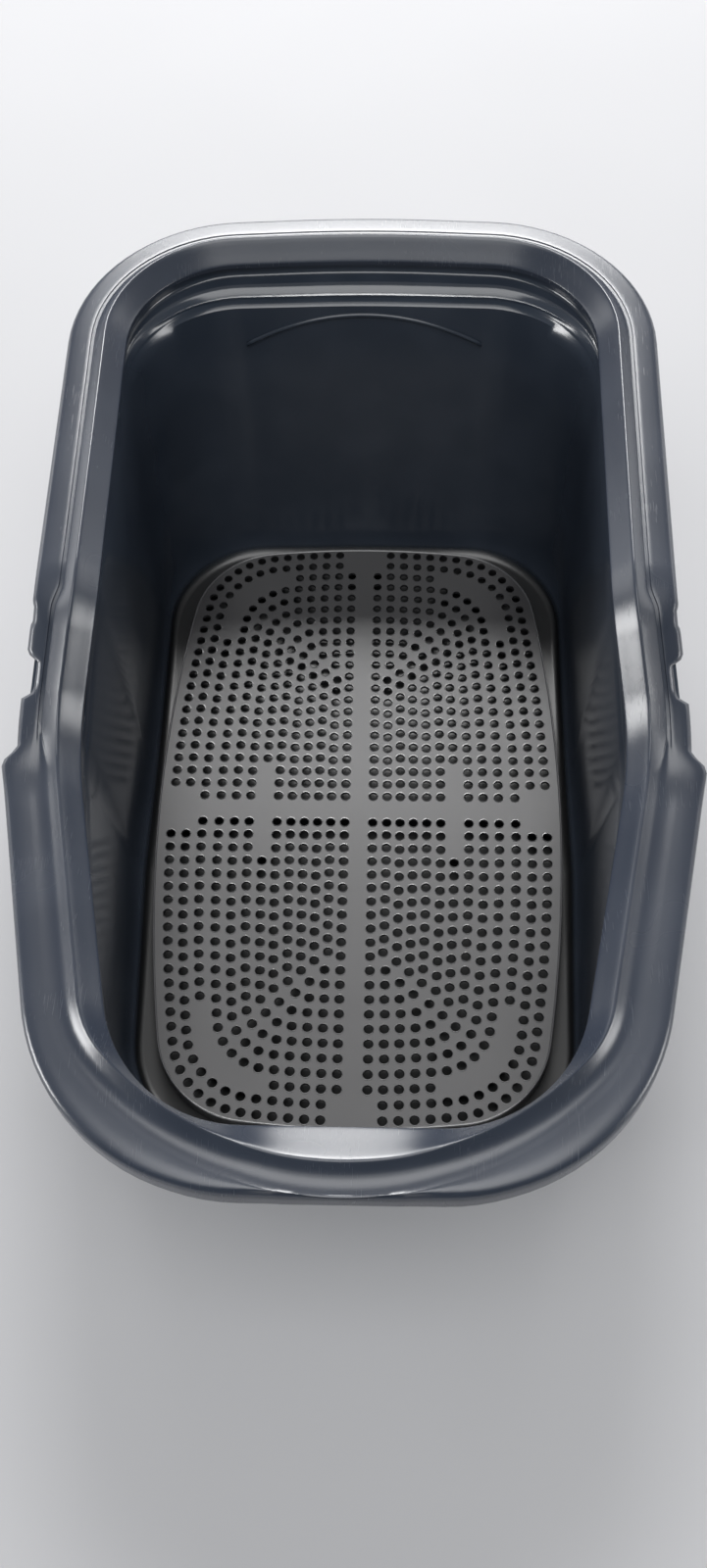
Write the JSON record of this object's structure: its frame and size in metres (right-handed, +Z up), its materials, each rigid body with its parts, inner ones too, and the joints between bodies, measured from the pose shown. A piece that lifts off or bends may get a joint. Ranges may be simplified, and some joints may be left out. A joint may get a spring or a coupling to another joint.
{
  "type": "open cat litter box with lift-out sieve and litter guard frame",
  "caption": "High-backed open litter tub with a low front entry, a perforated sieve tray that lifts out, and a clip-on litter guard frame round the rim.",
  "frame": {"origin": "on the ground, below the middle of the whole box's outline", "axes": "+Z up, +Y towards the high back, the low entry faces -Y, X across the box"},
  "size_m": [0.3874, 0.6112, 0.222],
  "materials": {
    "tub_plastic": "near-black moulded polypropylene, glossy inside",
    "frame_plastic": "dark slate grey moulded polypropylene, satin with soft highlights",
    "sieve_plastic": "dark neutral grey moulded polypropylene, fine satin grain"
  },
  "bodies": {
    "tub": {"litter_tub": "tub_plastic"},
    "frame": {"rim_frame": "frame_plastic"},
    "sieve": {"sieve_floor": "sieve_plastic", "sieve_wall": "sieve_plastic", "sieve_ribs": "sieve_plastic"}
  },
  "joints": [
    {"name": "rim_lift", "type": "slide", "parent": "tub", "child": "frame", "axis": [0, 0, 1], "range_m": [0, 0.3]},
    {"name": "sieve_lift", "type": "slide", "parent": "tub", "child": "sieve", "axis": [0, 0, 1], "range_m": [0, 0.24]}
  ],
  "couplings": [
    {"joint": "sieve_lift", "follows": "rim_lift", "ratio": 0.8}
  ]
}
